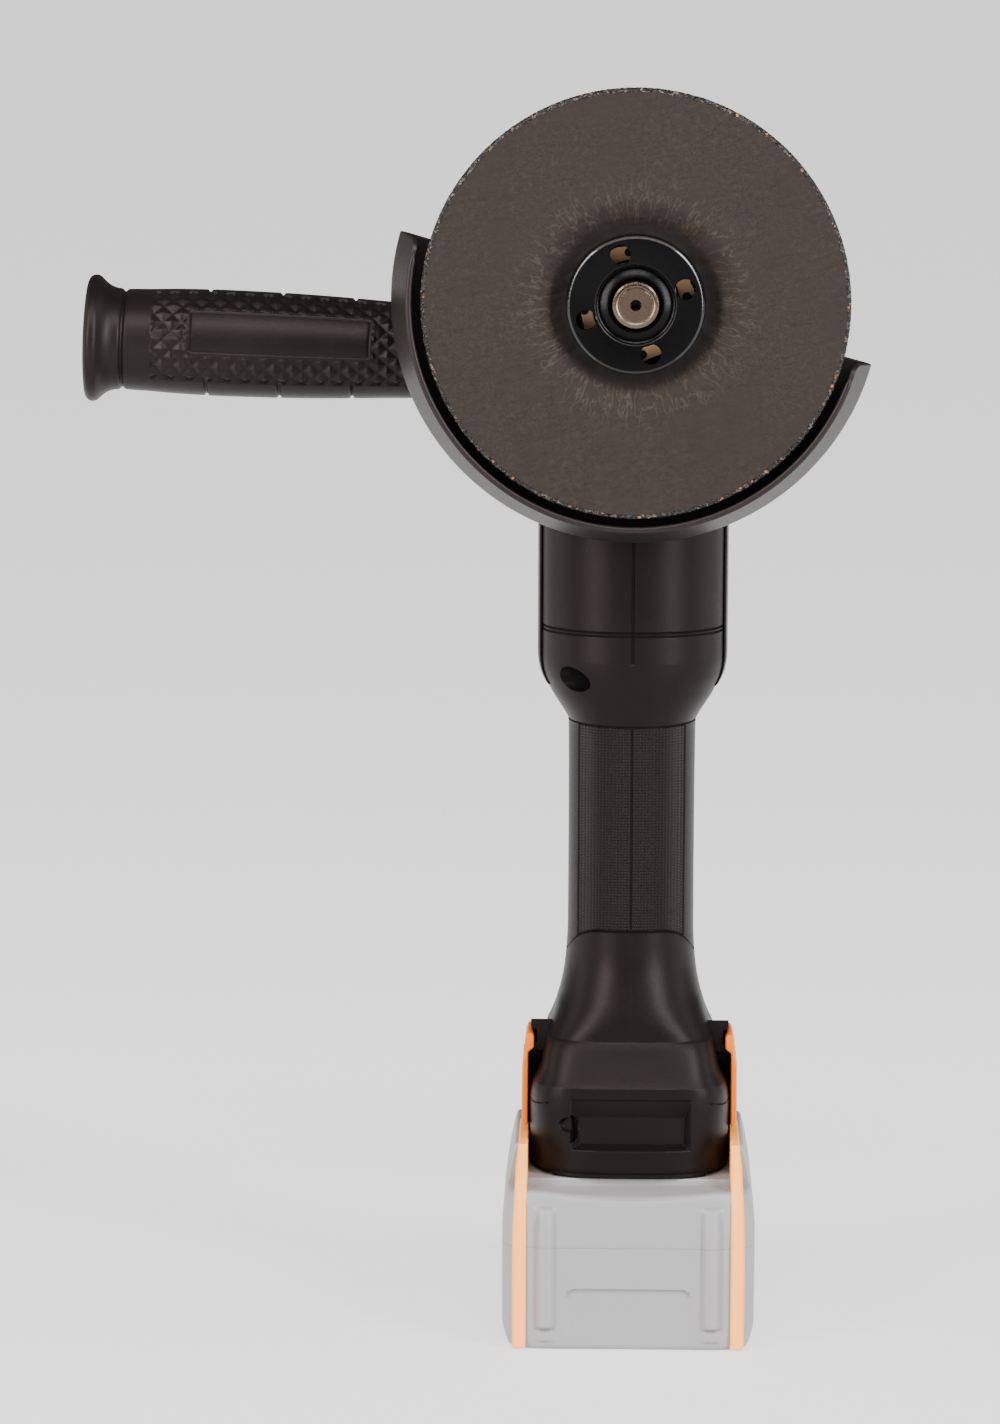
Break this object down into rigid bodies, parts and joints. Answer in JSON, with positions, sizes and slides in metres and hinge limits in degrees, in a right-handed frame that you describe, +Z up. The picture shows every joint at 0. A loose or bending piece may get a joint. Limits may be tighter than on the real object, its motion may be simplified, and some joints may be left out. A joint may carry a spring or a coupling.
{
  "type": "angle grinder",
  "caption": "Cordless 125 mm angle grinder: side handle, steel guard, grinding disc, bevel gear head and slide-on battery.",
  "frame": {"origin": "middle of the battery's flat underside, on the tool's centre plane, below the motor axis", "axes": "+Z up along the grip towards the gear head; +Y from the disc side to the switch side; +X to the right seen from the disc side"},
  "size_m": [0.2348, 0.1304, 0.376],
  "materials": {
    "housing_plastic": "fine grain",
    "grip_rubber": "knurled",
    "cast_housing": "black paint",
    "bright_steel": "ground",
    "plated_steel": "nickel",
    "black_steel": "black oxide",
    "guard_paint": "satin",
    "abrasive": "cloth over grit",
    "orange_plastic": "satin",
    "pale_plastic": "smooth",
    "pale_orange": "smooth",
    "copper": "enamelled",
    "circuit_board": "solder mask",
    "cell_sleeve": "shrink sleeve"
  },
  "bodies": {
    "tool": {"gear_housing": "cast_housing", "bearing_cover": "cast_housing", "cover_screw_1": "black_steel", "cover_screw_2": "black_steel", "cover_screw_3": "black_steel", "cover_screw_4": "black_steel", "spindle_bearing_front": "bright_steel", "spindle_bearing_rear": "bright_steel", "lock_spring": "bright_steel", "shell_left": "housing_plastic", "shell_right": "housing_plastic", "shell_screw_1": "black_steel", "shell_screw_2": "black_steel", "shell_screw_3": "black_steel", "shell_screw_4": "black_steel", "side_strip_left": "grip_rubber", "side_strip_right": "grip_rubber", "trim_tab_left": "orange_plastic", "trim_tab_right": "orange_plastic", "stator_core": "bright_steel", "winding_upper": "copper", "winding_lower": "copper", "fan_baffle": "housing_plastic", "motor_bearing_upper": "bright_steel", "motor_bearing_lower": "bright_steel", "switch_module": "housing_plastic", "controller_board": "circuit_board", "terminal_block": "housing_plastic", "motor_wires": "copper"},
    "output": {"spindle": "plated_steel", "ring_gear": "bright_steel", "inner_flange": "black_steel", "grinding_disc": "abrasive", "disc_bore_ring": "bright_steel", "lock_nut": "black_steel"},
    "rotor": {"motor_shaft": "bright_steel", "pinion": "bright_steel", "rotor_core": "bright_steel", "fan": "housing_plastic"},
    "guard": {"guard_shell": "guard_paint", "guard_band": "black_steel", "clamp_screw": "bright_steel", "lever_pin": "bright_steel"},
    "guard_lever": {"guard_lever": "black_steel"},
    "spindle_lock": {"lock_button": "housing_plastic"},
    "switch": {"switch_slider": "housing_plastic", "switch_rod": "housing_plastic"},
    "side_handle": {"handle_core": "bright_steel", "handle_grip": "grip_rubber"},
    "battery": {"battery_lower": "pale_plastic", "battery_upper": "pale_plastic", "battery_strip_left": "pale_orange", "battery_strip_right": "pale_orange", "cell_row_lower": "cell_sleeve", "cell_row_upper": "cell_sleeve", "battery_board": "circuit_board", "latch_spring": "bright_steel"},
    "latch": {"battery_latch": "pale_orange"}
  },
  "joints": [
    {"name": "spindle_spin", "type": "hinge", "parent": "tool", "child": "output", "pos_m": [0, 0, 0.3135], "axis": [0, 1, 0], "continuous": true},
    {"name": "motor_spin", "type": "hinge", "parent": "tool", "child": "rotor", "pos_m": [0, 0, 0.24], "axis": [0, 0, 1], "continuous": true},
    {"name": "guard_turn", "type": "hinge", "parent": "tool", "child": "guard", "pos_m": [0, -0.036, 0.3135], "axis": [0, 1, 0], "range_deg": [-90, 90]},
    {"name": "guard_clamp", "type": "hinge", "parent": "guard", "child": "guard_lever", "pos_m": [0.0176, -0.0358, 0.33768], "axis": [0, -1, 0], "range_deg": [0, 100]},
    {"name": "lock_press", "type": "slide", "parent": "tool", "child": "spindle_lock", "axis": [0, -1, 0], "range_m": [0, 0.003], "stiffness_N_per_m": 900, "springref_m": -0.002},
    {"name": "switch_slide", "type": "slide", "parent": "tool", "child": "switch", "axis": [0, 0, 1], "range_m": [0, 0.008]},
    {"name": "handle_off", "type": "slide", "parent": "tool", "child": "side_handle", "axis": [-0.9994, 0, 0.0349], "range_m": [0, 0.05]},
    {"name": "battery_slide", "type": "slide", "parent": "tool", "child": "battery", "axis": [0, 1, 0], "range_m": [0, 0.06]},
    {"name": "latch_press", "type": "slide", "parent": "battery", "child": "latch", "axis": [0, 0, -1], "range_m": [0, 0.003], "stiffness_N_per_m": 600, "springref_m": -0.002, "deforming": ["latch_spring"]}
  ],
  "couplings": [
    {"joint": "motor_spin", "follows": "spindle_spin", "ratio": -3.5}
  ]
}
